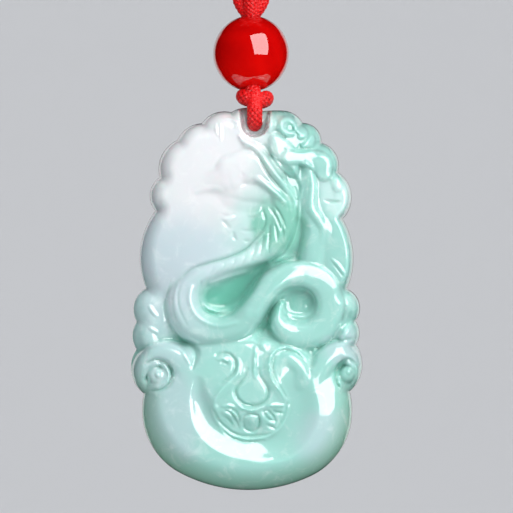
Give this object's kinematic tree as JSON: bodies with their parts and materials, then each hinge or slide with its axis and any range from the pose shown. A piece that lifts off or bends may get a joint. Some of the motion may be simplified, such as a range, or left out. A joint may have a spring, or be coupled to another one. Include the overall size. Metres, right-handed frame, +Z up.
{
  "type": "carved jade snake pendant",
  "caption": "Carved pale jade plaque with a coiled snake over a ruyi cloud-head, hung on a red braided cord with a round red agate bead held between its knots.",
  "frame": {"origin": "top inside of the hanging loop, where a hook, a chain or a neck cord carries the pendant", "axes": "+Z up along the hanging pendant, -Y out of its carved front, +X to the right seen from the front"},
  "size_m": [0.0307, 0.0115, 0.09],
  "materials": {
    "jade": "polished, translucent",
    "agate": "polished",
    "cord": "braided, satin"
  },
  "bodies": {
    "hanger": {"jade_loop": "cord", "lower_knot": "cord", "agate_bead": "agate", "bead_core": "cord", "upper_knot": "cord", "hanging_loop": "cord"},
    "plaque": {"jade_plaque": "jade"}
  },
  "joints": [
    {"name": "plaque_swing", "type": "hinge", "parent": "hanger", "child": "plaque", "pos_m": [0.0005, 0, -0.03939], "axis": [0, 1, 0], "range_deg": [-12, 12]}
  ]
}
